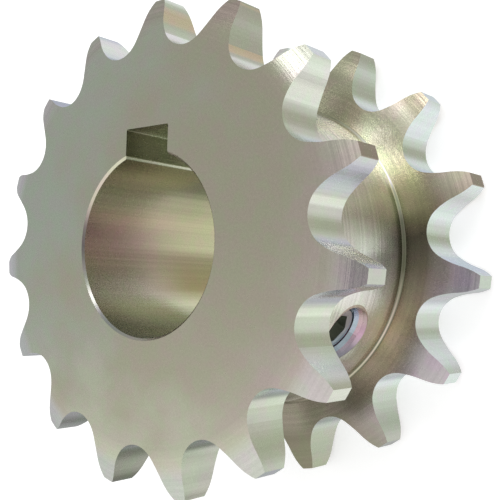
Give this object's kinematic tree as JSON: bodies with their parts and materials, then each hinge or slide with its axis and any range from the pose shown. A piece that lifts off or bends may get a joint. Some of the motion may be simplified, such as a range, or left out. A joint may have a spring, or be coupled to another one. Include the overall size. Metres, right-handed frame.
{
  "type": "roller chain sprocket",
  "caption": "Double single roller-chain sprocket: two equal toothed rows on a plain hub, with a finished bore, a keyway and set screws.",
  "frame": {"origin": "on the bore's axis, in the plane of the rear row's outer face, on which the sprocket stands", "axes": "+Z along the bore's axis from the rear row to the front row; +Y from the axis through the middle of the keyway, in line with one tooth of each row; +X completes the right-handed frame"},
  "size_m": [0.0666, 0.0662, 0.035],
  "materials": {
    "plated_steel": "turned and hobbed steel, zinc plated and passivated, satin olive grey",
    "screw_steel": "hardened steel, zinc plated, satin grey"
  },
  "bodies": {
    "root": {"sprocket": "plated_steel", "side_set_screw": "screw_steel", "key_set_screw": "screw_steel"}
  },
  "joints": []
}
